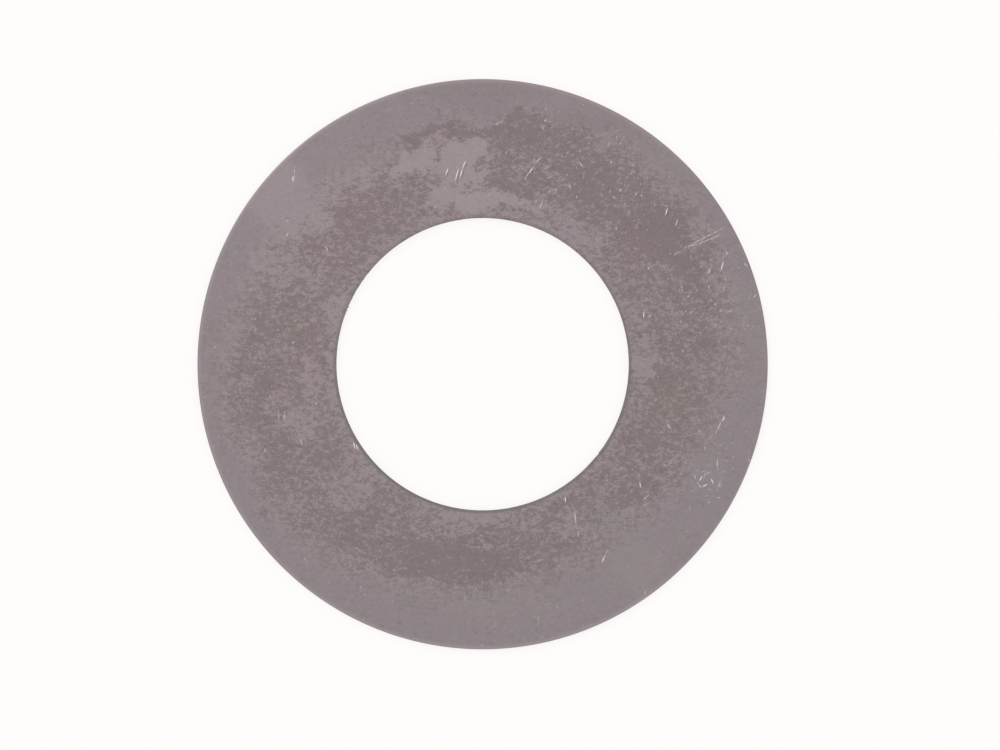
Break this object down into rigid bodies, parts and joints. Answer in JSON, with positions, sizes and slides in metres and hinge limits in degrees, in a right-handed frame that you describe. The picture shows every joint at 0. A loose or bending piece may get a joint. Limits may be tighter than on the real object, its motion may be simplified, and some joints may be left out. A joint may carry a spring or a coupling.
{
  "type": "shim ring",
  "caption": "Flat round shim ring of thin steel with a central bore, punched from strip and darkened by a light mottled tarnish.",
  "frame": {"origin": "on the ring's axis, level with its lower face", "axes": "+Z along the ring's axis, from the lower face to the upper face that the die drew in"},
  "size_m": [0.04, 0.04, 0.0005],
  "materials": {
    "tarnished_steel": "satin rolled steel under a thin, mottled grey-brown tarnish, with fine bright scratches"
  },
  "bodies": {
    "root": {"shim_ring": "tarnished_steel"}
  },
  "joints": []
}
